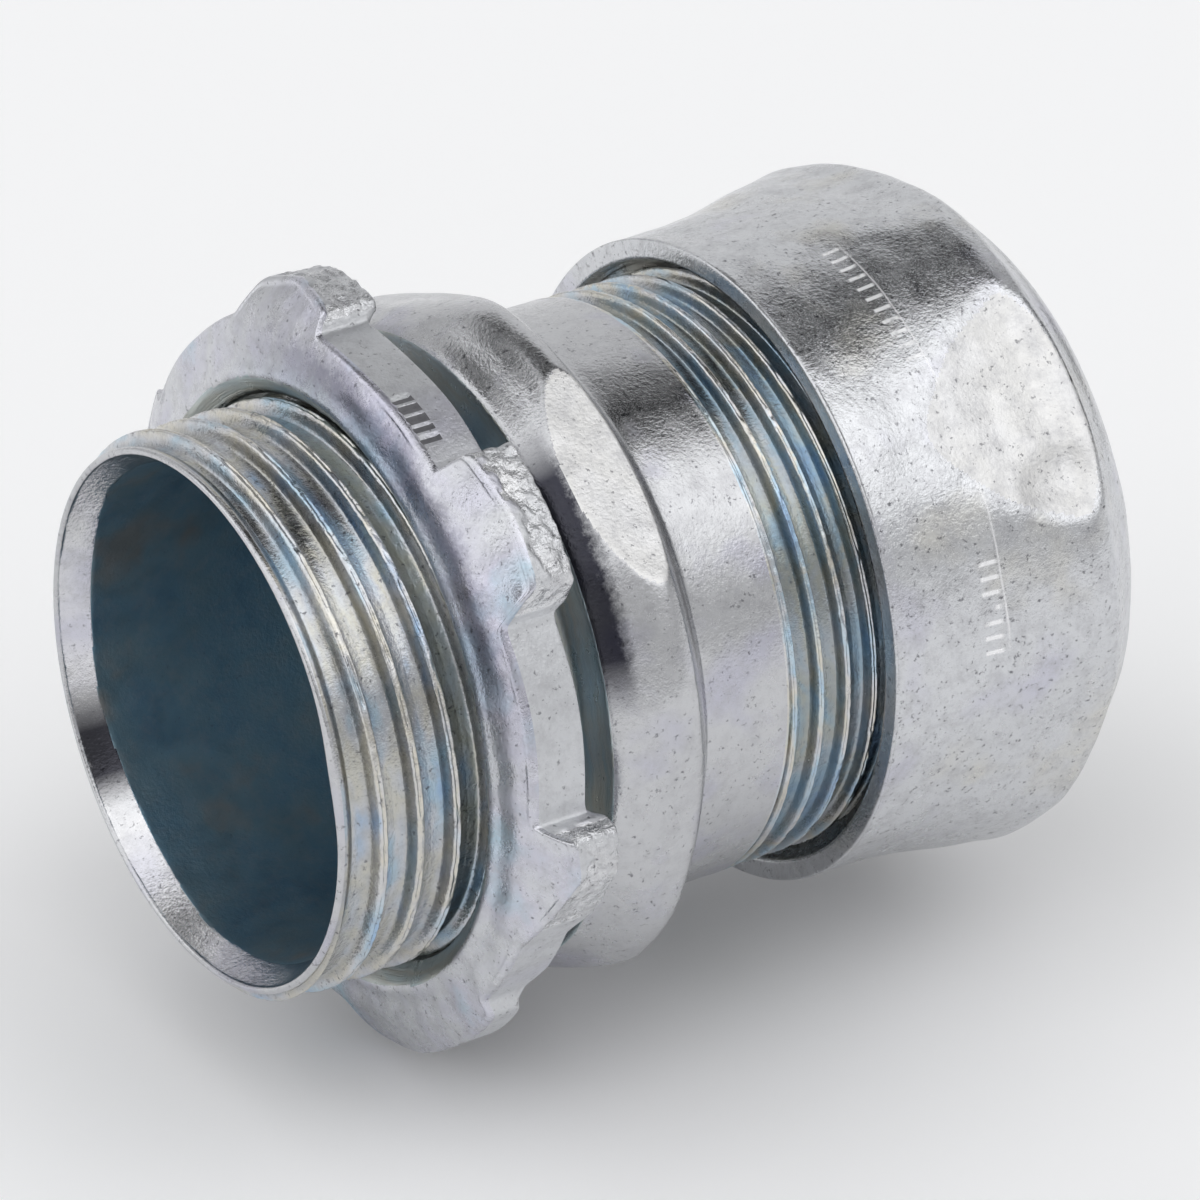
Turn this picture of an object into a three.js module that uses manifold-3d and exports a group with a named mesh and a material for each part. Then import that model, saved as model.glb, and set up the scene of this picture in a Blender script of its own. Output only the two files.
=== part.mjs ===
// Steel compression connector that joins a 3/4 in. thin-wall conduit (EMT) to a knockout in an electrical box.
// Millimetres. The fitting lies on its side: +X runs along its axis, from the open box-side mouth to the
// gland nut, and +Z is up. The origin is midway along the fitting, under the axis, on the level of the lowest lug.
import * as THREE from "three";
import { mergeVertices } from "three/addons/utils/BufferGeometryUtils.js";
import Module from "manifold-3d";

// ---- driving dimensions -----------------------------------------------------------------------------------

const INCH = 25.4;
const LENGTH = 41; // mouth to the end of the gland nut
const CONDUIT_R = (0.922 * INCH) / 2; // outside radius of 3/4 in. EMT
const BOX_PITCH = INCH / 14; // box-side thread
const GLAND_PITCH = INCH / 18; // gland thread
const HEX_FLAT_R = (1.1875 * INCH) / 2; // both wrench hexagons: 1 3/16 in. across flats

// Connector body, measured from the mouth.
const MOUTH_R = 12.25;
const MOUTH_LIP = 0.25; // width of the mouth's end face
const MOUTH_CHAMFER = 1.5; // depth of the countersink inside the mouth
const THROAT_R = 11.25;
const BOX_CREST_R = 12.75;
const BOX_ROOT_R = 12.0;
const BOX_RELIEF = 1.1; // plain root left between the last crest and the shoulder
const SHOULDER_X = 12.2; // the turned face that lands on the box wall
const SHOULDER_R = 14.75;
const FLANGE_R = 16.0;
const FLANGE_MID_X = 14.9;
const FLANGE_END_X = 17.5;
const NECK_R = 13.4;
const NECK_END_X = 21.9;
const GLAND_ROOT_R = 12.75;
const BODY_END_X = 33.5;
const END_CHAMFER = 0.4;
const STOP_X = 15.5; // the conduit's end rests on this step
const SOCKET_R = CONDUIT_R + 0.2;
const SEAT_DEPTH = 2;
const SEAT_R = SOCKET_R + 0.8; // at the wide end of the seat that takes the ring

// Locknut.
const LOCKNUT_X = 6.3; // front of its raised hole edge
const LOCKNUT_DEPTH = 4.1; // over its bent-back lugs
const LOCKNUT_STOCK = 3.2; // at the hole
const LOCKNUT_BORE_R = BOX_CREST_R + 0.25;
const LOCKNUT_WALL_R = 16.3; // between the lugs
const LUG_R = 18.0;
const LUG_COUNT = 6;
const LUG_WIDTH = 26; // degrees
const LUG_TURN = 13.5; // degrees from +Y towards +Z, to the middle of one lug

// Gland nut.
const NUT_X = 26.6;
const NUT_RIM_R = 15.0;
const NUT_CORNER_R = 16.2;
const NUT_MOUTH_R = 13.95;
const NUT_TURN = 22.5; // degrees, to the middle of one flat
const FLANGE_TURN = 8.5; // degrees, to the middle of one flat of the body's flange
const NUT_THREAD_START_X = 27.4;
const NUT_THREAD_END_X = 34.0;
const NUT_RELIEF_R = 13.75;
const NUT_HOLE_R = CONDUIT_R + 0.3;
const NUT_HOLE_LENGTH = 1.2;
const THREAD_GAP = 0.2; // radial, between the two gland threads

// Compression ring.
const RING_X = 33.9;
const RING_LENGTH = 5;
const RING_BORE_R = CONDUIT_R + 0.1;
const RING_TIP_R = 12.1;
const RING_R = 13.1;
const RING_SPLIT = 2.4;
const RING_SPLIT_TURN = 60; // degrees from +Y towards +Z
const TAPER = Math.tan(THREE.MathUtils.degToRad(30)); // of the ring's two ends and the nut's cone

// Threads. Both ridges are right-handed, with flanks at 30 degrees to the radius.
const THREAD_FLANK = Math.tan(THREE.MathUtils.degToRad(30));
const BOX_PHASE_X = 0.97; // where the first box-side crest crosses the +Y side
const BOX_CREST_HALF = 0.27; // half the width of a crest
const BOX_ROOT_HALF = BOX_CREST_HALF + (BOX_CREST_R - BOX_ROOT_R) * THREAD_FLANK;
const GLAND_PHASE_X = 23.06;
const GLAND_CREST_HALF = 0.18;
const GLAND_ROOT_HALF = GLAND_CREST_HALF + (NECK_R - GLAND_ROOT_R) * THREAD_FLANK;

// Fineness.
const ROUND = 72; // facets round a turned surface
const THREAD_STEPS = 36; // facets in one turn of a thread, and round the rod or hole it is cut on
const RIDGE_SINK = 0.25; // how far a thread's ridge reaches into the metal it stands on
const OVERCUT = 1; // how far a cutting solid runs past the metal it cuts

// ---- solids -----------------------------------------------------------------------------------------------

const wasm = await Module();
wasm.setup();

const radians = THREE.MathUtils.degToRad;

function toSolid(geometry) {
  const bare = geometry.index ? geometry.toNonIndexed() : geometry.clone();
  bare.deleteAttribute("normal");
  bare.deleteAttribute("uv");
  const merged = mergeVertices(bare, 1e-4);
  const mesh = new wasm.Mesh({
    numProp: 3,
    vertProperties: merged.attributes.position.array,
    triVerts: new Uint32Array(merged.index.array),
  });
  return new wasm.Manifold(mesh);
}

function toGeometry(solid) {
  const mesh = solid.getMesh();
  const positions = new Float32Array(mesh.numVert * 3);
  for (let i = 0; i < mesh.numVert; i++) {
    positions.set(mesh.vertProperties.subarray(i * mesh.numProp, i * mesh.numProp + 3), i * 3);
  }
  const geometry = new THREE.BufferGeometry();
  geometry.setAttribute("position", new THREE.BufferAttribute(positions, 3));
  geometry.setIndex(new THREE.BufferAttribute(new Uint32Array(mesh.triVerts), 1));
  geometry.computeVertexNormals();
  return geometry;
}

// A turned solid: profile is a list of [x, radius] from one point on the axis to the other, with rising x.
function turned(profile, facets) {
  const points = profile.map(([x, r]) => new THREE.Vector2(r, x));
  return toSolid(new THREE.LatheGeometry(points, facets).rotateZ(-Math.PI / 2));
}

// A turned plug between two stations, given only its outer points.
function plug(points, facets) {
  const first = points[0];
  const last = points[points.length - 1];
  return turned([[first[0], 0], ...points, [last[0], 0]], facets);
}

// A straight bar along X whose outline is given in polar form, as [degrees from +Y, radius].
function bar(outline, x0, x1) {
  const shape = new THREE.Shape(
    outline.map(([degrees, r]) => {
      const a = radians(degrees + 90);
      return new THREE.Vector2(r * Math.cos(a), r * Math.sin(a));
    }),
  );
  const geometry = new THREE.ExtrudeGeometry(shape, { depth: x1 - x0, bevelEnabled: false });
  return toSolid(geometry.rotateY(Math.PI / 2).translate(x0, 0, 0));
}

function hexBar(flatTurn, flatR, x0, x1) {
  const cornerR = flatR / Math.cos(Math.PI / 6);
  const corners = Array.from({ length: 6 }, (_, i) => [flatTurn + 30 + 60 * i, cornerR]);
  return bar(corners, x0, x1);
}

// The helical ridge of a right-hand thread. Both ends sink into the metal that the ridge stands on.
// At angle 0 the ridge passes over phaseX, so threads with one phaseX and pitch are in mesh.
function threadRidge({ startX, endX, phaseX, pitch, rootR, crestR, rootHalf, crestHalf }) {
  const firstStep = Math.ceil(((startX - phaseX) / pitch) * THREAD_STEPS);
  const lastStep = Math.floor(((endX - phaseX) / pitch) * THREAD_STEPS);
  const fade = THREAD_STEPS / 4;
  const innerR = rootR - RIDGE_SINK;
  const sunkR = rootR - RIDGE_SINK / 2;
  const positions = [];
  for (let step = firstStep; step <= lastStep; step++) {
    const angle = (step / THREAD_STEPS) * 2 * Math.PI;
    const x = phaseX + (step / THREAD_STEPS) * pitch;
    const rise = Math.min(1, (step - firstStep) / fade, (lastStep - step) / fade);
    const topR = sunkR + (crestR - sunkR) * rise;
    const section = [
      [-rootHalf, innerR],
      [-crestHalf, topR],
      [crestHalf, topR],
      [rootHalf, innerR],
    ];
    for (const [dx, r] of section) {
      positions.push(x + dx, r * Math.cos(angle), r * Math.sin(angle));
    }
  }
  const sides = 4;
  const sections = lastStep - firstStep;
  const index = [];
  for (let i = 0; i < sections; i++) {
    for (let j = 0; j < sides; j++) {
      const a = i * sides + j;
      const b = i * sides + ((j + 1) % sides);
      index.push(a, a + sides, b, b, a + sides, b + sides);
    }
  }
  const end = sections * sides;
  for (let j = 1; j < sides - 1; j++) {
    index.push(0, j, j + 1);
    index.push(end, end + j + 1, end + j);
  }
  const geometry = new THREE.BufferGeometry();
  geometry.setAttribute("position", new THREE.Float32BufferAttribute(positions, 3));
  geometry.setIndex(index);
  return toSolid(geometry);
}

// Points of a quarter or longer arc in the [x, radius] plane, both ends included.
function arc(x, r, radiusX, radiusR, fromDegrees, toDegrees, steps) {
  return Array.from({ length: steps + 1 }, (_, i) => {
    const a = radians(fromDegrees + ((toDegrees - fromDegrees) * i) / steps);
    return [x + radiusX * Math.cos(a), r + radiusR * Math.sin(a)];
  });
}

// ---- connector body ---------------------------------------------------------------------------------------

function makeBody() {
  const barrelProfile = [
    [0, MOUTH_R],
    [0.35, MOUTH_R],
    [0.6, BOX_ROOT_R],
    [SHOULDER_X + 0.5, BOX_ROOT_R],
    [SHOULDER_X + 1, NECK_R],
    [NECK_END_X, NECK_R],
    [NECK_END_X + 0.5, GLAND_ROOT_R],
    [BODY_END_X - END_CHAMFER, GLAND_ROOT_R],
    [BODY_END_X, GLAND_ROOT_R - END_CHAMFER],
  ];
  const barrel = plug(barrelProfile, THREAD_STEPS);
  const flangeRise = FLANGE_R - SHOULDER_R;
  const flangeFall = FLANGE_R - NECK_R;
  const flangeProfile = [
    [SHOULDER_X, SHOULDER_R],
    ...arc(FLANGE_MID_X, SHOULDER_R, FLANGE_MID_X - SHOULDER_X - 0.3, flangeRise, 165, 90, 5),
    ...arc(FLANGE_MID_X, NECK_R, FLANGE_END_X - FLANGE_MID_X, flangeFall, 78, 8, 5),
    [FLANGE_END_X + 0.3, NECK_R - 0.2],
  ];
  const flangeHex = hexBar(FLANGE_TURN, HEX_FLAT_R, SHOULDER_X - OVERCUT, FLANGE_END_X + OVERCUT);
  const flange = plug(flangeProfile, ROUND).intersect(flangeHex);
  const boxThread = threadRidge({
    startX: 0.4,
    endX: SHOULDER_X - BOX_RELIEF,
    phaseX: BOX_PHASE_X,
    pitch: BOX_PITCH,
    rootR: BOX_ROOT_R,
    crestR: BOX_CREST_R,
    rootHalf: BOX_ROOT_HALF,
    crestHalf: BOX_CREST_HALF,
  });
  const glandThread = threadRidge({
    startX: NECK_END_X,
    endX: BODY_END_X - 2 * END_CHAMFER,
    phaseX: GLAND_PHASE_X,
    pitch: GLAND_PITCH,
    rootR: GLAND_ROOT_R,
    crestR: NECK_R,
    rootHalf: GLAND_ROOT_HALF,
    crestHalf: GLAND_CREST_HALF,
  });
  const hollowProfile = [
    [-OVERCUT, MOUTH_R - MOUTH_LIP],
    [0, MOUTH_R - MOUTH_LIP],
    [MOUTH_CHAMFER, THROAT_R],
    [STOP_X, THROAT_R],
    [STOP_X, SOCKET_R],
    [BODY_END_X - SEAT_DEPTH, SOCKET_R],
    [BODY_END_X, SEAT_R],
    [BODY_END_X + OVERCUT, SEAT_R],
  ];
  const hollow = plug(hollowProfile, THREAD_STEPS);
  return barrel.add(flange).add(boxThread).add(glandThread).subtract(hollow);
}

// ---- locknut ----------------------------------------------------------------------------------------------

// The front is dished, so that only the backs of the lugs touch the box wall.
function makeLocknut() {
  const dishedProfile = [
    [LOCKNUT_X, LOCKNUT_BORE_R + 0.5],
    [LOCKNUT_X + 0.5, LOCKNUT_WALL_R - 0.6],
    [LOCKNUT_X + 0.9, LOCKNUT_WALL_R],
    [LOCKNUT_X + 1.8, LUG_R - 0.15],
    [LOCKNUT_X + 2.1, LUG_R],
    [LOCKNUT_X + LOCKNUT_DEPTH, LUG_R],
    [LOCKNUT_X + LOCKNUT_DEPTH, LUG_R - 0.9],
    [LOCKNUT_X + LOCKNUT_STOCK, LOCKNUT_WALL_R - 0.3],
  ];
  const lugPitch = 360 / LUG_COUNT;
  const gap = lugPitch - LUG_WIDTH;
  const arcSteps = 6;
  const outline = [];
  for (let lug = 0; lug < LUG_COUNT; lug++) {
    const start = LUG_TURN + lugPitch * lug - LUG_WIDTH / 2;
    for (let i = 0; i <= arcSteps; i++) {
      outline.push([start + (LUG_WIDTH * i) / arcSteps, LUG_R + OVERCUT]);
    }
    for (let i = 0; i <= arcSteps; i++) {
      outline.push([start + LUG_WIDTH + (gap * i) / arcSteps, LOCKNUT_WALL_R]);
    }
  }
  const frontX = LOCKNUT_X - OVERCUT;
  const backX = LOCKNUT_X + LOCKNUT_DEPTH + OVERCUT;
  const holeProfile = [
    [frontX, LOCKNUT_BORE_R],
    [backX, LOCKNUT_BORE_R],
  ];
  const lugged = plug(dishedProfile, ROUND).intersect(bar(outline, frontX, backX));
  return lugged.subtract(plug(holeProfile, ROUND));
}

// ---- gland nut --------------------------------------------------------------------------------------------

// Round at the front, hexagonal over its middle, and closed in to a round lip at the back.
function makeGlandNut() {
  const outsideProfile = [
    [NUT_X, NUT_RIM_R - 0.1],
    [NUT_X + 0.15, NUT_RIM_R],
    [NUT_X + 3.2, HEX_FLAT_R],
    [NUT_X + 6.5, NUT_CORNER_R - 0.35],
    [NUT_X + 9, NUT_CORNER_R],
    [NUT_X + 10.4, NUT_CORNER_R],
    [NUT_X + 11.2, NUT_CORNER_R - 0.35],
    [NUT_X + 11.8, HEX_FLAT_R - 0.1],
    [NUT_X + 12.1, 14.4],
    [NUT_X + 12.9, 14.25],
    [NUT_X + 13.8, 13.7],
    [LENGTH, 12.95],
  ];
  const hex = hexBar(NUT_TURN, HEX_FLAT_R, NUT_X - OVERCUT, LENGTH + OVERCUT);
  const coneEndX = LENGTH - NUT_HOLE_LENGTH;
  const coneStartX = coneEndX - (NUT_RELIEF_R - NUT_HOLE_R) / TAPER;
  const crestR = GLAND_ROOT_R + THREAD_GAP;
  const cavityProfile = [
    [NUT_X - OVERCUT, NUT_MOUTH_R],
    [NUT_THREAD_START_X - 0.4, NUT_MOUTH_R],
    [NUT_THREAD_START_X, NUT_RELIEF_R],
    [NUT_THREAD_START_X + 0.6, crestR],
    [NUT_THREAD_END_X - 0.6, crestR],
    [NUT_THREAD_END_X, NUT_RELIEF_R],
    [coneStartX, NUT_RELIEF_R],
    [coneEndX, NUT_HOLE_R],
    [LENGTH + OVERCUT, NUT_HOLE_R],
  ];
  // The groove is the body's ridge with THREAD_GAP added all round.
  const groove = threadRidge({
    startX: NUT_THREAD_START_X - 0.7,
    endX: NUT_THREAD_END_X + 0.7,
    phaseX: GLAND_PHASE_X,
    pitch: GLAND_PITCH,
    rootR: crestR,
    crestR: NECK_R + THREAD_GAP,
    rootHalf: GLAND_ROOT_HALF + THREAD_GAP - (THREAD_GAP * THREAD_FLANK) / 2,
    crestHalf: GLAND_CREST_HALF + THREAD_GAP / 4,
  });
  const cavity = plug(cavityProfile, THREAD_STEPS).add(groove);
  return plug(outsideProfile, ROUND).intersect(hex).subtract(cavity);
}

// ---- compression ring -------------------------------------------------------------------------------------

function makeRing() {
  const endX = RING_X + RING_LENGTH;
  const taperLength = (RING_R - RING_TIP_R) / TAPER;
  const outsideProfile = [
    [RING_X, RING_TIP_R],
    [RING_X + taperLength, RING_R],
    [endX - taperLength, RING_R],
    [endX, RING_TIP_R],
  ];
  const holeProfile = [
    [RING_X - OVERCUT, RING_BORE_R],
    [endX + OVERCUT, RING_BORE_R],
  ];
  const split = new THREE.BoxGeometry(RING_LENGTH + 2 * OVERCUT, RING_R * 2, RING_SPLIT);
  split.translate(RING_X + RING_LENGTH / 2, RING_R, 0);
  split.rotateX(radians(RING_SPLIT_TURN));
  return plug(outsideProfile, ROUND).subtract(plug(holeProfile, ROUND)).subtract(toSolid(split));
}

// ---- assembly ---------------------------------------------------------------------------------------------

const fitting = new THREE.Group();
fitting.name = "conduit_compression_fitting";

function addNode(name, solid, color, roughness) {
  const material = new THREE.MeshStandardMaterial({ color, roughness, metalness: 1 });
  material.name = name;
  const mesh = new THREE.Mesh(toGeometry(solid), material);
  mesh.name = name;
  mesh.position.set(-LENGTH / 2, 0, LUG_R);
  fitting.add(mesh);
}

addNode("connector_body", makeBody(), 0xb9bec2, 0.32);
addNode("locknut", makeLocknut(), 0xb4b5ba, 0.45);
addNode("gland_nut", makeGlandNut(), 0xbabbbd, 0.4);
addNode("compression_ring", makeRing(), 0xa9aaa6, 0.35);

export default fitting;
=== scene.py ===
import math

import bpy
import numpy as np
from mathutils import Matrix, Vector


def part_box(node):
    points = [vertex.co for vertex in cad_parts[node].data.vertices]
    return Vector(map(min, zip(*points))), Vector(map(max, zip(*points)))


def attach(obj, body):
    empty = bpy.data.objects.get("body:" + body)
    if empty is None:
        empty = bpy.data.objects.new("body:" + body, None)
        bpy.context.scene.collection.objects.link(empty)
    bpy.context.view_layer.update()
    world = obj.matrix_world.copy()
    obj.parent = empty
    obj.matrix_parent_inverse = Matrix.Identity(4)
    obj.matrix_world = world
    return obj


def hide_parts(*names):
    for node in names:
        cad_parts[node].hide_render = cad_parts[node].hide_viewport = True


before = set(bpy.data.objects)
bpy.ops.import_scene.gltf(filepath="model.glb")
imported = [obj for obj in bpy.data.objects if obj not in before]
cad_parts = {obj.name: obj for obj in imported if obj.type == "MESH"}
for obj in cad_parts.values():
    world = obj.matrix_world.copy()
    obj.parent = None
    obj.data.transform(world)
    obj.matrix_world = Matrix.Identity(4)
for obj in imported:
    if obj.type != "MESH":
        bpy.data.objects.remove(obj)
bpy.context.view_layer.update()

MM = 0.001
INCH = 25.4
body_low, body_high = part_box("connector_body")
nut_low, nut_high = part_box("gland_nut")
ring_low, ring_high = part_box("compression_ring")


def from_mouth(corner):
    """How far along the axis a corner of a node's box is from the mouth."""
    return (corner.x - body_low.x) / MM


# ---- sizes, the same as the frame's ---------------------------------------------------------------------

MOUTH_X = body_low.x / MM
AXIS_Z = (body_low.z + body_high.z) / 2 / MM
BODY_END = from_mouth(body_high)
NUT_START = from_mouth(nut_low)
NUT_END = from_mouth(nut_high)
RING_START = from_mouth(ring_low)
RING_END = from_mouth(ring_high)
CONDUIT_R = 0.922 * INCH / 2
BOX_PITCH = INCH / 14
GLAND_PITCH = INCH / 18
HEX_FLAT_R = 1.1875 * INCH / 2

MOUTH_R = 12.25
LIP = 0.34
THROAT_R = 11.25
BOX_CREST_R = 12.75
BOX_ROOT_R = 12.0
BOX_PHASE = 0.97
SHOULDER_X = 12.2
SHOULDER_R = 14.75
FLANGE_R = 16.0
FLANGE_END = 17.5
FLANGE_TURN = 8.5
NECK_R = 13.4
NECK_END = 21.9
GLAND_ROOT_R = 12.75
GLAND_PHASE = 23.06
STOP_X = 15.5
SOCKET_R = CONDUIT_R + 0.2
SEAT_DEPTH = 2.0
SEAT_R = SOCKET_R + 0.8

NUT_RIM_R = 15.0
NUT_CORNER_R = 16.2
NUT_TURN = 18.5
NUT_HOLE_R = CONDUIT_R + 0.3
NUT_RELIEF_R = 13.75
NUT_THREAD_START = 27.2
NUT_THREAD_END = 34.2

LOCK_X = 6.3
LOCK_HOLE_X = 7.1
LOCK_BACK_X = 9.5
LOCK_BACK_LIMIT = LOCK_X + 4.1
LOCK_BORE_R = BOX_CREST_R + 0.12
LOCK_WALL_R = 16.3
LUG_R = 18.0

COLUMNS = 540  # points round the body and the gland nut
RING_COLUMNS = 360
TEXTURE_R = 13.0  # lengths round the axis are measured at this radius in texture coordinates
SIXTH = math.pi / 3

# ---- small tools ----------------------------------------------------------------------------------------


def smooth(low, high, value):
    t = np.clip((value - low) / (high - low), 0, 1)
    return t * t * (3 - 2 * t)


def soft_min(a, b, k):
    h = np.clip(0.5 + 0.5 * (b - a) / k, 0, 1)
    return b * (1 - h) + a * h - k * h * (1 - h)


def soft_max(a, b, k):
    return -soft_min(-a, -b, k)


def hump(value, middle, width):
    """1 at the middle, falling away on both sides."""
    return np.exp(-(((value - middle) / width) ** 2))


def rumple(points, wavelength, seed, waves=28):
    """A smooth uneven field of about unit height over points, with bumps of about that wavelength."""
    rng = np.random.default_rng(seed)
    way = rng.normal(size=(waves, 3))
    way /= np.linalg.norm(way, axis=1)[:, None]
    rate = 2 * math.pi / wavelength * rng.uniform(0.6, 1.7, waves)
    start = rng.uniform(0, 2 * math.pi, waves)
    total = np.zeros(points.shape[:-1])
    for w, k, s in zip(way, rate, start):
        total += np.sin(points @ w * k + s)
    return total / math.sqrt(waves / 2)


def curve(stations, knots):
    """Smooth monotone values at stations through (station, value) knots."""
    at = np.array([k[0] for k in knots], float)
    value = np.array([k[1] for k in knots], float)
    gap = np.diff(at)
    slope = np.diff(value) / gap
    tangent = np.concatenate([[slope[0]], (slope[:-1] + slope[1:]) / 2, [slope[-1]]])
    for i in range(1, len(at) - 1):
        if slope[i - 1] * slope[i] <= 0:
            tangent[i] = 0
        else:
            tangent[i] = 2 * slope[i - 1] * slope[i] / (slope[i - 1] + slope[i])
    i = np.clip(np.searchsorted(at, stations, side="right") - 1, 0, len(gap) - 1)
    t = np.clip((stations - at[i]) / gap[i], 0, 1)
    a = value[i] * (1 + 2 * t) * (1 - t) ** 2 + tangent[i] * gap[i] * t * (1 - t) ** 2
    b = value[i + 1] * t * t * (3 - 2 * t) + tangent[i + 1] * gap[i] * t * t * (t - 1)
    return a + b


def to_points(x, r, angle):
    return np.stack([x, r * np.cos(angle), r * np.sin(angle)], -1)


def from_sixth(angle, turn_degrees):
    """Angle from the middle of the nearest of six equal sides, in radians."""
    return (angle - math.radians(turn_degrees) + SIXTH / 2) % SIXTH - SIXTH / 2


def hex_flat(angle, turn_degrees, flat_r):
    """Radius to the nearest of six flats."""
    return flat_r / np.cos(from_sixth(angle, turn_degrees))


# How far the only flat that is still clear is from the first one, and how far from its middle wear starts and
# is full.
CLEAR_FLAT = 120
WEAR_START, WEAR_FULL = 24, 38


def wear(angle, turn_degrees):
    """0 on the flat that is still clear, 1 on the others, which are worn soft."""
    from_clear = np.abs(np.degrees(angle) - turn_degrees - CLEAR_FLAT)
    return smooth(WEAR_START, WEAR_FULL, from_clear)


# A thread's height from the middle of its crest, at 0, to the middle of its root, at 1: a narrow crest over a
# wide hollow root.
THREAD_FORM = [(0, 1.0), (0.14, 0.98), (0.21, 0.85), (0.34, 0.3), (0.46, 0.1), (0.7, 0.03), (1, 0)]
FOLD_WIDTH = 0.055


def thread(x, angle, phase, pitch, height, fold=0.0):
    """Height of a right-hand thread over its root, with a fold that deep down the middle of the crest."""
    turn = (x - phase) / pitch - angle / (2 * math.pi)
    from_crest = np.abs(turn - np.round(turn)) * 2
    return height * curve(from_crest, THREAD_FORM) - fold * hump(from_crest, 0, FOLD_WIDTH)


def rolled_thread(at, x, angle, phase, pitch, height, fold_depth, seed):
    """Height of a rolled thread over its root: its crests have a shallow, broken fold and ragged edges."""
    fold = fold_depth * smooth(-0.9, 0.1, rumple(at, 2.5, seed + 1))
    even = thread(x, angle, phase, pitch, height, fold)
    return even * (1 - 0.03 * np.maximum(0, rumple(at, 0.6, seed)))


def curve_path(knots, count):
    stations = np.linspace(knots[0][0], knots[-1][0], count)
    return np.stack([stations, curve(stations, knots)], -1)


def arc_path(x, r, radius_x, radius_r, start, stop, count):
    a = np.radians(np.linspace(start, stop, count))
    return np.stack([x + radius_x * np.cos(a), r + radius_r * np.sin(a)], -1)


def line_path(x0, r0, x1, r1, count):
    return np.stack([np.linspace(x0, x1, count), np.linspace(r0, r1, count)], -1)


def section(parts):
    """One closed section from (region, points) parts, with each point's region."""
    path = np.concatenate([points for _, points in parts])
    region = np.concatenate([np.full(len(points), kind) for kind, points in parts])
    return path, region


def spin(path, turns):
    """The section's points at every angle in turns: x, r and angle, with rows along the section."""
    x = path[:, :1].repeat(len(turns), 1)
    r = path[:, 1:].repeat(len(turns), 1)
    angle = turns[None, :].repeat(len(path), 0)
    return x, r, angle


def full_circle(columns):
    return np.linspace(0, 2 * math.pi, columns, endpoint=False)


def loop_grid(x, r, angle, region, open_ends=False):
    """Faces of a grid that closes on itself down its rows, and across its columns unless open_ends. Rows run
    along the section and columns round the axis. Returns points, faces, each face's region, and texture
    coordinates in millimetres along the section and round the axis."""
    rows, columns = x.shape
    points = to_points(x, r, angle)
    along = np.zeros_like(x)
    step = np.hypot(np.diff(x, axis=0), np.diff(r, axis=0))
    along[1:] = np.cumsum(step, axis=0)
    index = np.arange(rows * columns).reshape(rows, columns)
    last = columns - 1 if open_ends else columns
    a = index[:, :last]
    b = np.roll(index, -1, axis=0)[:, :last]
    next_column = np.roll(index, -1, axis=1)[:, :last]
    c = np.roll(next_column, -1, axis=0)
    faces = np.stack([a, next_column, c, b], -1).reshape(-1, 4)
    region = np.broadcast_to(region.reshape(rows, -1), (rows, columns))[:, :last].ravel()
    next_along = np.roll(along, -1, axis=0)
    u = np.stack([along, along, next_along, next_along], -1)[:, :last]
    # The closing faces go on by a short step, instead of running back over the whole section.
    u[-1, :, 2:] = u[-1, :, :2] + 0.1
    left = angle * TEXTURE_R
    right = np.roll(left, -1, axis=1)
    right = np.where(right < left, right + 2 * math.pi * TEXTURE_R, right)
    v = np.stack([left, right, np.roll(right, -1, axis=0), np.roll(left, -1, axis=0)], -1)[:, :last]
    uv = np.stack([u.reshape(-1, 4), v.reshape(-1, 4)], -1)
    return points.reshape(-1, 3), faces, region, uv.reshape(-1, 2)


def add_mesh(name, points, faces, region, uv, node, materials):
    """One piece that stands for a CAD node and rides on the body of the same name. points are in
    millimetres; region gives each face's material, and uv each face corner's texture coordinates."""
    world = points * MM
    world[:, 0] += MOUTH_X * MM
    world[:, 2] += AXIS_Z * MM
    mesh = bpy.data.meshes.new(name)
    mesh.vertices.add(len(world))
    mesh.vertices.foreach_set("co", world.astype(np.float32).ravel())
    mesh.loops.add(faces.size)
    mesh.loops.foreach_set("vertex_index", faces.astype(np.int32).ravel())
    mesh.polygons.add(len(faces))
    starts = np.arange(0, faces.size, faces.shape[1], dtype=np.int32)
    mesh.polygons.foreach_set("loop_start", starts)
    mesh.polygons.foreach_set("material_index", region.astype(np.int32))
    mesh.polygons.foreach_set("use_smooth", np.ones(len(faces), bool))
    layer = mesh.uv_layers.new(name="surface")
    layer.data.foreach_set("uv", uv.astype(np.float32).ravel())
    mesh.update(calc_edges=True)
    mesh.validate()
    piece = bpy.data.objects.new(name, mesh)
    bpy.context.scene.collection.objects.link(piece)
    for material in materials:
        mesh.materials.append(material)
    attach(piece, node)
    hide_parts(node)
    return piece


# ---- materials ------------------------------------------------------------------------------------------

# Marks of the closing die on the gland nut: a line round it, and short ticks in front of the line. A span is
# the degrees where the marks start, are full, fall and end.
DIE_LINE_X = 32.2
DIE_LINE_SPAN = (96, 100, 172, 178)
DIE_TICK_X = (DIE_LINE_X - 1.0, DIE_LINE_X - 0.9, DIE_LINE_X - 0.2, DIE_LINE_X)
DIE_TICK_SPANS = ((97, 99, 124, 127), (158, 160, 177, 179))
DIE_TICK_STEP = 2.6


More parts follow.
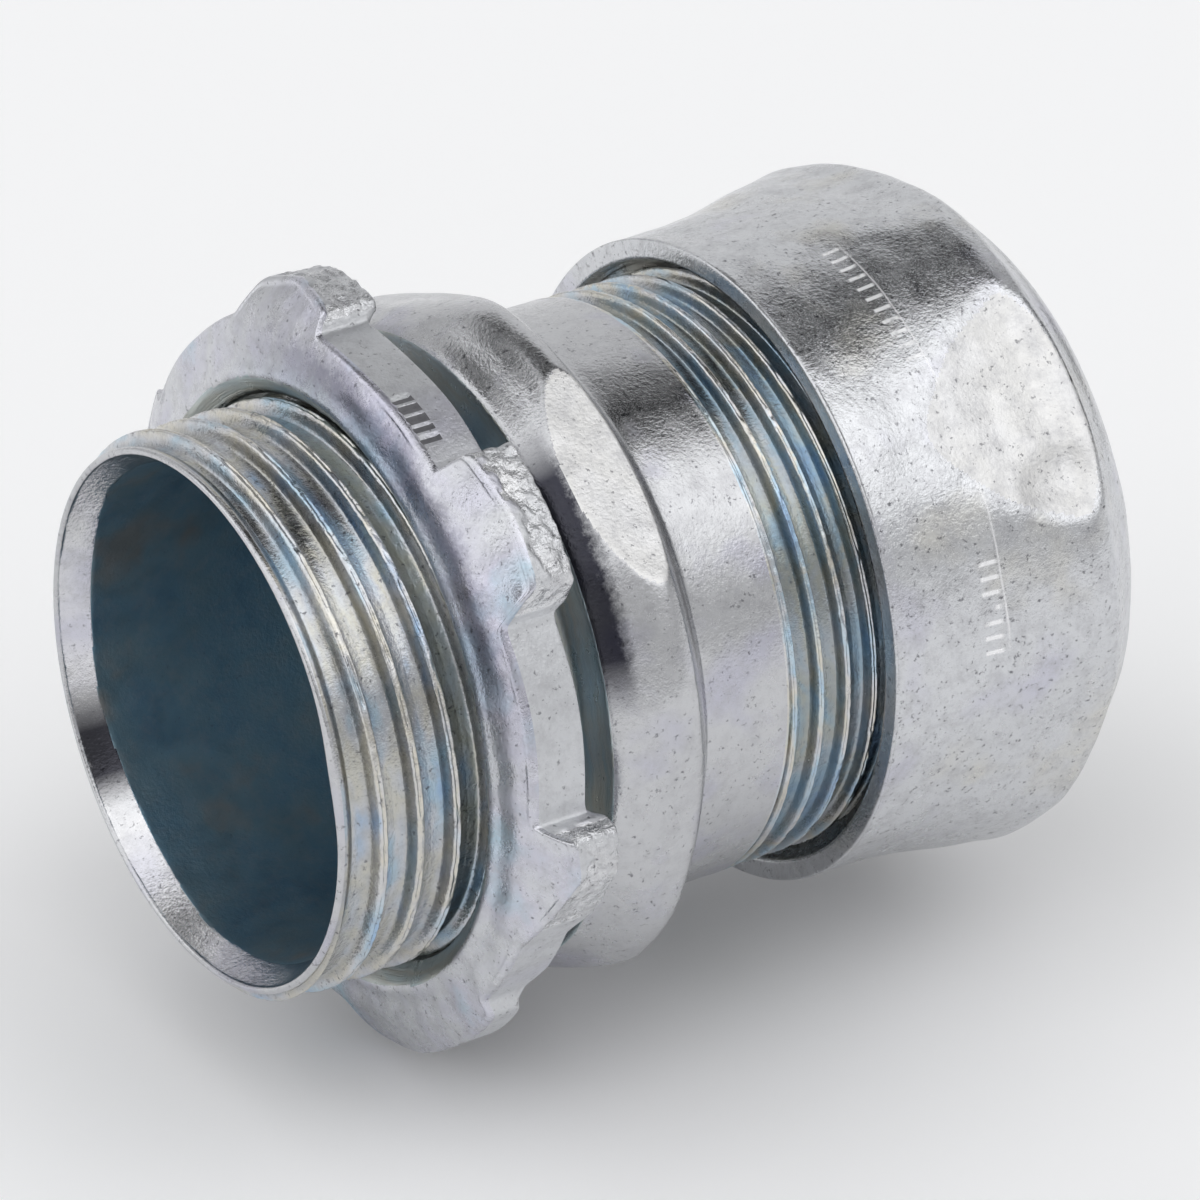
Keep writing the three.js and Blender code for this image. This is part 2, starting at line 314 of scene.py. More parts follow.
class Nodes:
    """Short way to write a procedural material's node tree."""

    def __init__(self, name):
        self.material = bpy.data.materials.new(name)
        self.material.use_nodes = True
        self.tree = self.material.node_tree
        self.tree.nodes.clear()
        self.shader = self.add("ShaderNodeBsdfPrincipled")
        output = self.add("ShaderNodeOutputMaterial")
        self.join(self.shader.outputs["BSDF"], output.inputs["Surface"])
        self.place = self.add("ShaderNodeTexCoord")

    def add(self, kind, **settings):
        node = self.tree.nodes.new(kind)
        for key, value in settings.items():
            setattr(node, key, value)
        return node

    def join(self, out, into):
        self.tree.links.new(out, into)

    def put(self, value, socket):
        if isinstance(value, bpy.types.NodeSocket):
            self.join(value, socket)
        else:
            socket.default_value = value

    def math(self, operation, a, b=0.0):
        node = self.add("ShaderNodeMath", operation=operation)
        self.put(a, node.inputs[0])
        self.put(b, node.inputs[1])
        return node.outputs[0]

    def times(self, a, b):
        return self.math("MULTIPLY", a, b)

    def plus(self, a, b):
        return self.math("ADD", a, b)

    def minus(self, a, b):
        return self.math("SUBTRACT", a, b)

    def scaled(self, vector, scale):
        node = self.add("ShaderNodeVectorMath", operation="MULTIPLY")
        self.join(vector, node.inputs[0])
        node.inputs[1].default_value = scale
        return node.outputs[0]

    def noise(self, vector, scale, detail=2.0, roughness=0.5):
        node = self.add("ShaderNodeTexNoise")
        self.join(vector, node.inputs["Vector"])
        node.inputs["Scale"].default_value = scale
        node.inputs["Detail"].default_value = detail
        node.inputs["Roughness"].default_value = roughness
        return node.outputs["Fac"]

    def ramp(self, value, stops):
        """Colour from (position, colour) stops."""
        node = self.add("ShaderNodeValToRGB")
        self.join(value, node.inputs["Fac"])
        elements = node.color_ramp.elements
        while len(elements) < len(stops):
            elements.new(0.5)
        for element, (position, colour) in zip(elements, stops):
            element.position = position
            element.color = (*colour, 1)
        return node.outputs["Color"]

    def remap(self, value, low, high, out_low=0.0, out_high=1.0):
        node = self.add("ShaderNodeMapRange")
        self.join(value, node.inputs["Value"])
        node.inputs["From Min"].default_value = low
        node.inputs["From Max"].default_value = high
        node.inputs["To Min"].default_value = out_low
        node.inputs["To Max"].default_value = out_high
        return node.outputs["Result"]

    def between(self, value, start, full, fall, end):
        """1 from full to fall, and 0 outside start and end."""
        return self.times(self.remap(value, start, full), self.remap(value, fall, end, 1, 0))

    def mix(self, factor, a, b, blend="MIX"):
        """Mixes colour socket a with b, which is a colour socket or a plain colour."""
        node = self.add("ShaderNodeMix", data_type="RGBA", blend_type=blend)
        self.put(factor, node.inputs[0])
        self.join(a, node.inputs[6])
        self.put(b if isinstance(b, bpy.types.NodeSocket) else (*b, 1), node.inputs[7])
        return node.outputs[2]

    def bump(self, height, distance, below=None):
        node = self.add("ShaderNodeBump")
        self.join(height, node.inputs["Height"])
        node.inputs["Distance"].default_value = distance
        if below is not None:
            self.join(below, node.inputs["Normal"])
        return node.outputs["Normal"]

    def coordinates(self, place):
        """x from the mouth, y and z from the axis, in millimetres."""
        split = self.add("ShaderNodeSeparateXYZ")
        self.join(place, split.inputs[0])
        return self.minus(split.outputs[0], MOUTH_X), split.outputs[1], self.minus(split.outputs[2], AXIS_Z)

    def turn(self, place):
        """Degrees about the axis from +Y towards +Z, from -180 to 180."""
        _, y, z = self.coordinates(place)
        return self.math("DEGREES", self.math("ARCTAN2", z, y))

    def ramp_by_radius(self, place, rings):
        """Colours from (radius, colour) pairs, with uneven borders."""
        _, y, z = self.coordinates(place)
        radius = self.math("SQRT", self.plus(self.times(y, y), self.times(z, z)))
        low, high = rings[0][0], rings[-1][0]
        uneven = self.minus(self.noise(place, 2.8, 6.0, 0.9), 0.5)
        radius = self.plus(radius, self.times(uneven, 0.55 * (high - low)))
        stops = [((ring - low) / (high - low), colour) for ring, colour in rings]
        return self.ramp(self.remap(radius, low, high), stops)

    def die_marks(self, place):
        """1 on the short ticks that the closing die left, and 0.6 on the fine line behind them."""
        x, _, _ = self.coordinates(place)
        turn = self.turn(place)
        line_x = self.plus(self.times(self.noise(place, 0.12), 0.9), DIE_LINE_X - 0.45)
        from_line = self.math("ABSOLUTE", self.minus(x, line_x))
        line = self.times(self.remap(from_line, 0.02, 0.07, 1, 0), self.between(turn, *DIE_LINE_SPAN))
        tick = self.remap(self.math("PINGPONG", turn, DIE_TICK_STEP / 2), 0.25, 0.5, 1, 0)
        first, second = [self.between(turn, *span) for span in DIE_TICK_SPANS]
        broken = self.remap(self.noise(place, 0.6), 0.33, 0.40)
        tick = self.times(tick, self.times(self.plus(first, second), broken))
        tick = self.times(tick, self.between(x, *DIE_TICK_X))
        return self.math("MAXIMUM", self.times(line, 0.6), tick)


SMUDGE = (0.42, 0.42, 0.44)
PIT = (0.13, 0.13, 0.145)
SCRATCH = (0.97, 0.97, 0.98)

# Depths of bumps, in metres.
GRAIN_DEPTH = 1.6e-5
DENT_DEPTH = 1.5e-5
TURNED_DEPTH = 1e-5
CRUMBLE_DEPTH = 1e-4


def zinc(name, tints, grain=1.0, dents=1.0, turned=0.0, rough=(0.2, 0.36), specks=0.5, tint_size=5.0,
         along=1.0, metallic=1.0, crumble=0.0, rings=None, ring_span=None, die_marks=False):
    """Bright zinc plate. tints are the colours it drifts through, in patches of tint_size millimetres that
    are longer round the axis by the factor along. grain, dents and turned deepen the fine grain, the soft
    hollows about a millimetre wide, and the lines round the axis. specks is how many dark pits show.
    crumble is the coarse grain of torn metal. rings are (radius, colour) pairs of painted shade and painted
    dark reflection, multiplied into the colour by its distance from the axis, within ring_span if it is
    given: the degrees where the painted shade starts, is full, falls and ends. die_marks adds the line and
    the short ticks that the closing die left round the gland nut."""
    n = Nodes(name)
    place = n.scaled(n.place.outputs["Object"], (1000, 1000, 1000))
    surface = n.place.outputs["UV"]

    patches = n.scaled(surface, (1.0, 1.0 / along, 0.0)) if along > 1 else place
    drift = n.noise(patches, 1.0 / tint_size, 3.0, 0.55)
    steps = len(tints) - 1
    colour = n.ramp(drift, [(0.3 + 0.4 * i / steps, tint) for i, tint in enumerate(tints)])
    smudge = n.remap(n.noise(place, 1.1, 6.0, 0.8), 0.46, 0.68, 0.0, 0.6 * min(1, specks))
    colour = n.mix(smudge, colour, SMUDGE)
    pits = n.remap(n.noise(place, 3.4, 4.0, 0.7), 0.655 - 0.05 * specks, 0.70 - 0.03 * specks)
    colour = n.mix(n.times(pits, 0.8 * min(1, specks)), colour, PIT)
    # Painted shade and painted dark reflection, by distance from the axis and within the span of degrees.
    if rings:
        amount = n.between(n.turn(place), *ring_span) if ring_span else 1.0
        colour = n.mix(amount, colour, n.ramp_by_radius(place, rings), "MULTIPLY")
    if die_marks:
        marks = n.die_marks(place)
        colour = n.mix(n.times(marks, 0.9), colour, SCRATCH)
        n.join(n.minus(1.0, n.times(marks, 0.7)), n.shader.inputs["Metallic"])
    else:
        n.shader.inputs["Metallic"].default_value = metallic
    n.join(colour, n.shader.inputs["Base Color"])

    fine = n.noise(place, 5.5, 3.0, 0.65)
    gloss = n.plus(n.times(n.noise(place, 0.8, 3.0, 0.6), 0.75), n.times(fine, 0.25))
    n.join(n.remap(gloss, 0.35, 0.65, *rough), n.shader.inputs["Roughness"])

    normal = n.bump(fine, grain * GRAIN_DEPTH)
    normal = n.bump(n.noise(place, 1.3, 2.0, 0.5), dents * DENT_DEPTH, normal)
    if crumble:
        normal = n.bump(n.noise(place, 3.6, 3.0, 0.6), crumble * CRUMBLE_DEPTH, normal)
    if turned:
        lines = n.noise(n.scaled(surface, (1.0, 0.02, 0.0)), 7.0, 3.0, 0.7)
        normal = n.bump(lines, turned * TURNED_DEPTH, normal)
    n.join(normal, n.shader.inputs["Normal"])
    return n.material


SILVER = (0.66, 0.67, 0.69)
LAVENDER = (0.61, 0.61, 0.68)
WARM = (0.66, 0.655, 0.63)
DIM_SILVER = (0.58, 0.585, 0.6)
DIM_LAVENDER = (0.53, 0.53, 0.6)
BLUE = (0.38, 0.53, 0.72)
SKY = (0.5, 0.63, 0.72)
TEAL = (0.38, 0.48, 0.51)
PALE_TEAL = (0.5, 0.57, 0.58)
OLIVE = (0.49, 0.5, 0.46)
PALE_STRAW = (0.67, 0.645, 0.57)
PALE = (0.76, 0.76, 0.77)
PALE_WARM = (0.75, 0.745, 0.735)
BORE_TINTS = ((0.16, 0.28, 0.38), (0.21, 0.34, 0.43), (0.24, 0.35, 0.41), (0.34, 0.34, 0.33))
PUNCH_MARK_TINTS = ((0.10, 0.10, 0.11), (0.17, 0.17, 0.18))
WHITE = (1, 1, 1)

# Painted shade and painted dark reflection on the locknut's front, multiplied into its colour by distance
# from the axis: a teal-grey shade round the hole and a dark band in the hollow inside the wall.
LOCKNUT_PAINTED_SHADE = (
    (13.2, (0.55, 0.61, 0.66)),
    (14.0, (0.72, 0.77, 0.82)),
    (14.8, (0.5, 0.5, 0.56)),
    (15.3, (0.46, 0.455, 0.52)),
    (16.2, (0.95, 0.94, 0.98)),
    (17.6, WHITE),
)
# A black painted reflection on the flange's coned front, between 116 and 168 degrees.
FLANGE_PAINTED_REFLECTION = ((13.9, WHITE), (14.3, (0.12, 0.12, 0.13)), (14.95, (0.08, 0.08, 0.1)), (15.3, WHITE))
# A black painted reflection on the countersink inside the mouth, between -46 and -17 degrees.
CONE_PAINTED_REFLECTION = ((10.9, (0.1, 0.1, 0.12)), (11.9, (0.07, 0.07, 0.08)), (12.1, (0.8, 0.8, 0.8)))
# Painted shade on the box thread: darkest low on its flanks, a little dark in its root.
BOX_THREAD_PAINTED_SHADE = (
    (BOX_ROOT_R, (0.8, 0.82, 0.84)),
    (12.2, (0.66, 0.67, 0.68)),
    (12.45, (0.9, 0.9, 0.9)),
    (12.7, WHITE),
)
# Painted shade on the gland thread: darker in its root.
GLAND_THREAD_PAINTED_SHADE = (
    (GLAND_ROOT_R, (0.52, 0.57, 0.6)),
    (13.0, (0.7, 0.71, 0.72)),
    (13.2, (0.85, 0.85, 0.85)),
    (13.35, WHITE),
)

forged = zinc(
    "zinc_forged", (DIM_LAVENDER, DIM_SILVER, DIM_SILVER, DIM_LAVENDER), grain=1.4, dents=0.35, specks=0.9,
    rough=(0.17, 0.3), rings=FLANGE_PAINTED_REFLECTION, ring_span=(116, 126, 158, 168),
)
drawn = zinc(
    "zinc_drawn", (LAVENDER, SILVER, SILVER, WARM), grain=2.0, dents=1.2, specks=1.2, rough=(0.16, 0.3),
    die_marks=True,
)
cut_edge = zinc(
    "zinc_cut_edge", (LAVENDER, SILVER, SILVER), grain=2.5, dents=1.0, specks=0.8, rough=(0.4, 0.55),
)
stamped = zinc(
    "zinc_stamped", (LAVENDER, SILVER, LAVENDER, SKY), grain=1.8, specks=0.9,
    rings=LOCKNUT_PAINTED_SHADE, ring_span=(55, 90, 150, 178),
)
sheared = zinc(
    "zinc_sheared", (PALE, SILVER, PALE), grain=3.0, dents=3.0, crumble=0.8, specks=1.0, rough=(0.2, 0.35),
)
box_thread = zinc(
    "zinc_box_thread", (BLUE, SKY, SILVER, PALE_STRAW, SILVER, BLUE), grain=1.6, dents=0.8, turned=0.5,
    specks=1.1, tint_size=2.4, along=3.0, rough=(0.14, 0.28), rings=BOX_THREAD_PAINTED_SHADE,
)
gland_thread = zinc(
    "zinc_gland_thread", (BLUE, SKY, SILVER, PALE_STRAW, SKY, BLUE), grain=1.2, dents=0.8, turned=0.5,
    specks=0.7, tint_size=2.4, along=3.0, rough=(0.14, 0.28), rings=GLAND_THREAD_PAINTED_SHADE,
)
turned = zinc(
    "zinc_turned", (TEAL, PALE_TEAL, OLIVE, TEAL), grain=0.8, dents=0.3, turned=5.0,
    specks=0.4, tint_size=1.2, along=8.0, rough=(0.25, 0.4),
)
bore = zinc(
    "zinc_bore", BORE_TINTS, grain=1.5, dents=0.6, turned=0.3,
    specks=0.4, tint_size=4.0, rough=(0.34, 0.46), metallic=0.85,
)
pressed = zinc("zinc_pressed", (PALE, PALE_WARM, PALE), grain=1.4, dents=0.5, specks=0.9, rough=(0.34, 0.44))
# The punched marks on the locknut's wall are coloured near black, a dull dark grey.
punch_marks_dark = zinc("punch_marks_dark", PUNCH_MARK_TINTS, grain=0.5, dents=0.3, specks=0.3, rough=(0.6, 0.8), metallic=0.3)
plain = zinc("zinc_ring", (SILVER, WARM), grain=0.6, turned=0.8, specks=0.3)
countersink = zinc(
    "zinc_countersink", (LAVENDER, PALE, SILVER), grain=1.8, dents=1.2, specks=0.8, rough=(0.12, 0.22),
    rings=CONE_PAINTED_REFLECTION, ring_span=(-46, -38, -28, -17),
)

# ---- connector body -------------------------------------------------------------------------------------

RIM, BOX_THREAD, TURNED, FORGED, BORE, COUNTERSINK, GLAND_THREAD, FLAT = range(8)
BODY_MATERIALS = [forged, box_thread, turned, forged, bore, countersink, gland_thread, pressed]

# The flange's section as x and r: a coned front, a short round top, and a rounded back.
FLANGE = [
    (SHOULDER_X + 0.05, SHOULDER_R - 0.3), (SHOULDER_X + 0.15, SHOULDER_R - 0.2), (13.1, 14.98),
    (14.0, 15.56), (14.7, 15.88), (15.3, FLANGE_R - 0.02), (15.8, 15.84), (16.4, 15.2), (17.0, 14.35),
    (17.4, 13.7), (17.8, NECK_R + 0.02), (18.2, NECK_R),
]

THROAT_TURN = 38.5
THROAT_END = 9.0
CONE_SLOPE = 0.48
CRESCENT = 0.4
CRESCENT_TURN = 166
CRESCENT_WIDTH = 13


def body_section():
    return section([
        (RIM, arc_path(LIP / 2, MOUTH_R - LIP / 2, LIP / 2, LIP / 2, 270, 90, 12)),
        (BOX_THREAD, line_path(0.2, BOX_ROOT_R, SHOULDER_X - 0.25, BOX_ROOT_R, 330)),
        (TURNED, arc_path(SHOULDER_X - 0.25, BOX_ROOT_R + 0.25, 0.25, 0.25, 280, 350, 4)),
        (TURNED, line_path(SHOULDER_X, BOX_ROOT_R + 0.3, SHOULDER_X, FLANGE[0][1] - 0.05, 18)),
        (FORGED, curve_path(FLANGE, 90)),
        (FORGED, line_path(FLANGE[-1][0] + 0.1, NECK_R, NECK_END - 0.1, NECK_R, 24)),
        (GLAND_THREAD, line_path(NECK_END, NECK_R, BODY_END - 0.3, NECK_R, 330)),
        (TURNED, line_path(BODY_END - 0.05, GLAND_ROOT_R - 0.01, BODY_END, SEAT_R + 0.02, 3)),
        (TURNED, line_path(BODY_END, SEAT_R, BODY_END - SEAT_DEPTH, SOCKET_R, 8)),
        (BORE, line_path(BODY_END - SEAT_DEPTH - 0.2, SOCKET_R, STOP_X + 0.05, SOCKET_R, 30)),
        (TURNED, line_path(STOP_X, SOCKET_R - 0.05, STOP_X, THROAT_R + 0.08, 4)),
        (BORE, line_path(STOP_X - 0.1, THROAT_R, 2.5, THROAT_R, 40)),
        (COUNTERSINK, line_path(2.4, THROAT_R, 0.2, MOUTH_R - LIP, 30)),
    ])


def make_body():
    path, region = body_section()
    x, r, angle = spin(path, full_circle(COLUMNS))
    at = to_points(x, r, angle)
    kinds = region[:, None].repeat(COLUMNS, 1)

    # The box thread starts behind a plain lip and fades out before the shoulder.
    rows = region == BOX_THREAD
    height = rolled_thread(
        at[rows], x[rows], angle[rows], BOX_PHASE, BOX_PITCH, BOX_CREST_R - BOX_ROOT_R, 0.10, 11,
    )
    fade = smooth(0.15, 0.6, x[rows]) * smooth(SHOULDER_X - 0.9, SHOULDER_X - 1.5, x[rows])
    lip = (MOUTH_R - BOX_ROOT_R) * smooth(0.75, 0.3, x[rows])
    r[rows] = BOX_ROOT_R + np.maximum(height * fade, lip)

    # The gland thread runs out at the neck.
    rows = region == GLAND_THREAD
    height = rolled_thread(
        at[rows], x[rows], angle[rows], GLAND_PHASE, GLAND_PITCH, NECK_R - GLAND_ROOT_R, 0.07, 13,
    )
    step = (NECK_R - GLAND_ROOT_R) * smooth(NECK_END + 0.45, NECK_END + 0.1, x[rows])
    end = smooth(BODY_END - 0.25, BODY_END - 0.8, x[rows])
    r[rows] = GLAND_ROOT_R + np.maximum(height * end, step)

    # The flange's six wrench flats.
    rows = (region == FORGED) & (path[:, 0] < FLANGE_END)
    flat = hex_flat(angle[rows], FLANGE_TURN, HEX_FLAT_R)
    worn = wear(angle[rows], FLANGE_TURN)
    kinds[rows] = np.where((flat < r[rows]) & (worn < 0.5), FLAT, FORGED)
    r[rows] = soft_min(r[rows], flat, 0.06 + 0.6 * worn)

    # The countersink meets a throat that is left slightly six-sided, in uneven crescents, and the rim is
    # widest at one of them.
    rows = (region == COUNTERSINK) | ((region == BORE) & (path[:, 0] < THROAT_END))
    corner = (1 - np.abs(from_sixth(angle[rows], THROAT_TURN)) / (SIXTH / 2)) ** 2
    throat = THROAT_R + 0.13 * corner * smooth(THROAT_END, 0.5, x[rows])
    crescent = CRESCENT * hump(np.degrees(angle), CRESCENT_TURN, CRESCENT_WIDTH)
    cone = MOUTH_R - LIP - crescent[rows] - CONE_SLOPE * (x[rows] - 0.2)
    cone -= 0.05 * (1 - corner) * smooth(0.2, 1.2, x[rows])
    r[rows] = soft_max(throat, cone, 0.05)
    kinds[rows] = np.where(cone > throat, COUNTERSINK, BORE)
    rim = region == RIM
    r[rim] = MOUTH_R - (MOUTH_R - r[rim]) * (1 + crescent[rim] / LIP)

    skin = (region == FORGED)[:, None] * 0.012 + (kinds == COUNTERSINK) * 0.01
    r -= skin * (1 + rumple(at, 3.2, 15) * 0.5)
    return add_mesh("fitting_body", *loop_grid(x, r, angle, kinds), "connector_body", BODY_MATERIALS)


body = make_body()

# ---- locknut --------------------------------------------------------------------------------------------

FRONT, EDGE, WALL, TORN, BACK, HOLE, PUNCHED = range(7)
LOCKNUT_MATERIALS = [stamped, stamped, cut_edge, sheared, stamped, turned, punch_marks_dark]

# The locknut's outline as degrees and radius: six lugs, each bent and torn in its own way.
LOCKNUT_OUTLINE = [
    (0, LOCK_WALL_R),
    (1.5, 17.4), (25, 17.4), (27, LOCK_WALL_R), (49, LOCK_WALL_R),
    (62.5, 16.5), (67.5, 17.75), (76, 17.9), (86, 17.25), (87.2, LOCK_WALL_R), (121.8, LOCK_WALL_R),
    (122.8, 17.8), (143.5, LUG_R - 0.02), (147.5, LOCK_WALL_R), (178.2, LOCK_WALL_R),
    (179.8, 17.8), (186, 17.9), (195, 17.0), (202, 16.2),
    (219, 15.9), (221, 16.6), (238, 16.9), (256, 17.6), (263, 17.6), (267, 16.1), (299, LOCK_WALL_R),
    (301, 17.6), (326, 17.6), (328, LOCK_WALL_R),
    (360, LOCK_WALL_R),
]

# The locknut's front and back as radius and x: countersunk round the hole, and bent back at the lugs.
LOCKNUT_FRONT = [
    (12.8, LOCK_HOLE_X), (13.3, 6.7), (13.75, 6.36), (13.95, 6.31), (14.5, 6.5), (15.4, 6.66),
    (16.3, 7.05), (17.1, 7.6), (17.7, 8.2), (18, 8.6),
]
LOCKNUT_BACK = [(13.0, LOCK_BACK_X), (15.8, LOCK_BACK_X), (16.4, 9.72), (17.1, 10.3), (18, 10.38)]

OUTLINE_STEP = 0.16
FRONT_EDGE = 0.3  # rounding of the front's outer edge
BACK_EDGE_X = 0.12  # rounding of the back's outer edge, along the axis and across it
BACK_EDGE_R = 0.22
BURR_WIDTH = 0.35
COUNTERSINK_R = 13.7

PUNCH_MARKS = np.arange(107.5, 117, 2.1)
PUNCH_WIDTH = 0.45
PUNCH_DEPTH = 0.14

# The lug that points down on the near side is thinner than the rest, between these degrees.
THIN_LUG = (212, 221, 268, 276)
THIN_LUG_LOSS = 1.1


def lug_outline():
    """Points round the locknut's outline with rounded corners: angle and radius."""
    corners = [(math.radians(degrees), radius) for degrees, radius in LOCKNUT_OUTLINE]
    pieces = []
    for (a0, r0), (a1, r1) in zip(corners[:-1], corners[1:]):
        length = math.hypot((a1 - a0) * (r0 + r1) / 2, r1 - r0)
        t = np.linspace(0, 1, max(2, round(length / OUTLINE_STEP)), endpoint=False)
        pieces.append(np.stack([a0 + (a1 - a0) * t, r0 + (r1 - r0) * t], -1))
    outline = np.concatenate(pieces)
    weight = np.hanning(9)[1:-1]
    weight /= weight.sum()
    side = len(weight) // 2
    radius = np.concatenate([outline[-side:, 1], outline[:, 1], outline[:side, 1]])
    return outline[:, 0], np.convolve(radius, weight, "valid")


def locknut_rows(outer):
    """Rows down the locknut's section, each with its region, its x and r at every column, and how far its
    points follow the outline's angles (1) instead of being evenly spaced (0)."""
    rows = []
    front_r = outer - FRONT_EDGE
    edge_x = curve(front_r, LOCKNUT_FRONT)
    for t in np.linspace(0, 1, 30) ** 0.85:
        r = LOCK_BORE_R + (front_r - LOCK_BORE_R) * t
        rows.append((FRONT, curve(r, LOCKNUT_FRONT), r, t))
    for a in np.radians(np.linspace(12, 90, 8)):
        rows.append((EDGE, edge_x + FRONT_EDGE * (1 - np.cos(a)), front_r + FRONT_EDGE * np.sin(a), 1.0))
    start = edge_x + FRONT_EDGE
    stop = curve(outer, LOCKNUT_BACK) - BACK_EDGE_X
    for t in np.linspace(0.04, 1, 20):
        rows.append((WALL, start + (stop - start) * t, outer, 1.0))
    for a in np.radians(np.linspace(0, 90, 5)[1:]):
        rows.append((WALL, stop + BACK_EDGE_X * np.sin(a), outer - BACK_EDGE_R * (1 - np.cos(a)), 1.0))
    for t in np.linspace(0.97, 0, 18):
        r = LOCK_BORE_R + (outer - BACK_EDGE_R - LOCK_BORE_R) * t
        rows.append((BACK, curve(r, LOCKNUT_BACK), r, t))
    for t in np.linspace(0.97, 0.03, 16):
        x = LOCK_HOLE_X + (LOCK_BACK_X - LOCK_HOLE_X) * t
        rows.append((HOLE, np.full(len(outer), x), np.full(len(outer), LOCK_BORE_R), 0.0))
    return rows


def make_locknut():
    turn, outer = lug_outline()
    columns = len(turn)
    rows = locknut_rows(outer)
    region = np.array([row[0] for row in rows])[:, None].repeat(columns, 1)
    x = np.stack([row[1] for row in rows])
    r = np.stack([row[2] for row in rows])
    follow = np.array([row[3] for row in rows])[:, None]
    even_turn = full_circle(columns)
    angle = even_turn + (turn - even_turn) * follow
    at = to_points(x, r, angle)

    # Lugs lean back unevenly, and their sides and the rear of their tips are torn rather than cut.
    bent = rumple(to_points(np.zeros(columns), outer, turn), 9.0, 21)
    lean = smooth(14.5, LUG_R, r) * (0.12 * bent)
    x = x + lean * smooth(10.6, 9.8, x)
    on_lug = smooth(LOCK_WALL_R, LUG_R, outer) > 0.3
    on_side = np.abs(np.gradient(outer)) > 0.04
    wall = region == WALL
    depth = (x - curve(outer - FRONT_EDGE, LOCKNUT_FRONT)) / 2.6
    torn = wall & on_lug & ((depth > 0.25 + 0.1 * rumple(at, 1.2, 22)) | on_side)
    region[torn] = TORN
    grit = rumple(at, 0.9, 23) * 0.035 + rumple(at, 0.5, 24) * 0.02
    r = r - np.where(torn, 0.1 + grit, 0)

    # A row of punched marks on the outer wall, coloured near black.
    for place in PUNCH_MARKS:
        notch = hump(np.degrees(angle), place, PUNCH_WIDTH) * smooth(8.3, 8.2, x) * smooth(7.2, 7.3, x)
        r = r - np.where(wall, PUNCH_DEPTH * notch, 0)
        region[wall & (notch > 0.12)] = PUNCHED

    burr_end = LOCK_BORE_R + BURR_WIDTH
    burr = (region == FRONT) & (r < burr_end)
    x = x - np.where(burr, 0.02 * rumple(at, 0.6, 25) * smooth(burr_end, LOCK_BORE_R, r), 0)
    degrees = np.degrees(angle) % 360
    thin = smooth(*THIN_LUG[:2], degrees) * smooth(THIN_LUG[3], THIN_LUG[2], degrees) * smooth(15.4, 16.4, r)
    x = x - THIN_LUG_LOSS * thin * smooth(8.2, 9.8, x)
    region[(region == FRONT) & (r < COUNTERSINK_R)] = HOLE
    hammered = (region == FRONT) | (region == BACK)
    x = x + np.where(hammered, 0.03 * rumple(at, 2.6, 26), 0)
    x = np.clip(x, LOCK_X, LOCK_BACK_LIMIT)
    r = np.clip(r, LOCK_BORE_R, LUG_R)
    return add_mesh("locknut_ring", *loop_grid(x, r, angle, region), "locknut", LOCKNUT_MATERIALS)


locknut = make_locknut()

# ---- gland nut ------------------------------------------------------------------------------------------

OUTSIDE, FRONT_LIP, INSIDE, GROOVED, PRESSED = range(5)
NUT_MATERIALS = [drawn, drawn, plain, plain, pressed]

# The gland nut's outside as x from its front, and r: a narrow rim, a swell to a rounded corner, a coned end.
NUT_OUTSIDE = [
    (0.15, NUT_RIM_R - 0.05), (3.2, HEX_FLAT_R), (5.0, 15.25), (7.0, 15.62), (9, 15.92), (10.3, 16.08),
    (11.2, 15.92), (11.8, 15.52), (12.3, 14.95), (12.8, 14.45), (13.4, 14.0), (14.0, 13.3),
]
NUT_END_R = 12.6
NUT_BACK_WALL = 1.2  # from the end of the conduit's hole to the start of the ring's cone
NUT_CONE_ANGLE = math.radians(30)

# A shallow oval press mark: its middle, its reach along the axis and across it, and its depth.
MARK_X = 36.3
MARK_R = 16
MARK_TURN = math.radians(152)
MARK_REACH_X = 2.5
MARK_REACH_ACROSS = 1.9
MARK_DEPTH = 0.22


def nut_section():
    cone_end = NUT_END - NUT_BACK_WALL
    cone_start = cone_end - (NUT_RELIEF_R - NUT_HOLE_R) / math.tan(NUT_CONE_ANGLE)
    outside = [(NUT_START + x, r) for x, r in NUT_OUTSIDE] + [(NUT_END, NUT_END_R)]
    root_r = GLAND_ROOT_R + 0.2
    return section([
        (FRONT_LIP, arc_path(NUT_START + 0.12, NUT_RIM_R - 0.16, 0.12, 0.11, 180, 95, 5)),
        (OUTSIDE, curve_path(outside, 170)),
        (INSIDE, line_path(NUT_END, NUT_END_R - 0.1, NUT_END, NUT_HOLE_R + 0.1, 5)),
        (INSIDE, arc_path(NUT_END - 0.1, NUT_HOLE_R + 0.1, 0.1, 0.1, 300, 270, 3)),
        (INSIDE, line_path(NUT_END - 0.3, NUT_HOLE_R, cone_end, NUT_HOLE_R, 5)),
        (INSIDE, line_path(cone_end - 0.1, NUT_HOLE_R + 0.05, cone_start, NUT_RELIEF_R, 16)),
        (INSIDE, line_path(cone_start - 0.2, NUT_RELIEF_R, NUT_THREAD_END, NUT_RELIEF_R, 10)),
        (GROOVED, line_path(NUT_THREAD_END - 0.1, root_r, NUT_THREAD_START + 0.1, root_r, 92)),
        (INSIDE, line_path(NUT_THREAD_START, NUT_RELIEF_R + 0.1, NUT_START + 0.25, NUT_RELIEF_R + 0.2, 6)),
        (FRONT_LIP, line_path(NUT_START + 0.05, NUT_RELIEF_R + 0.27, NUT_START, NUT_RIM_R - 0.3, 6)),
    ])


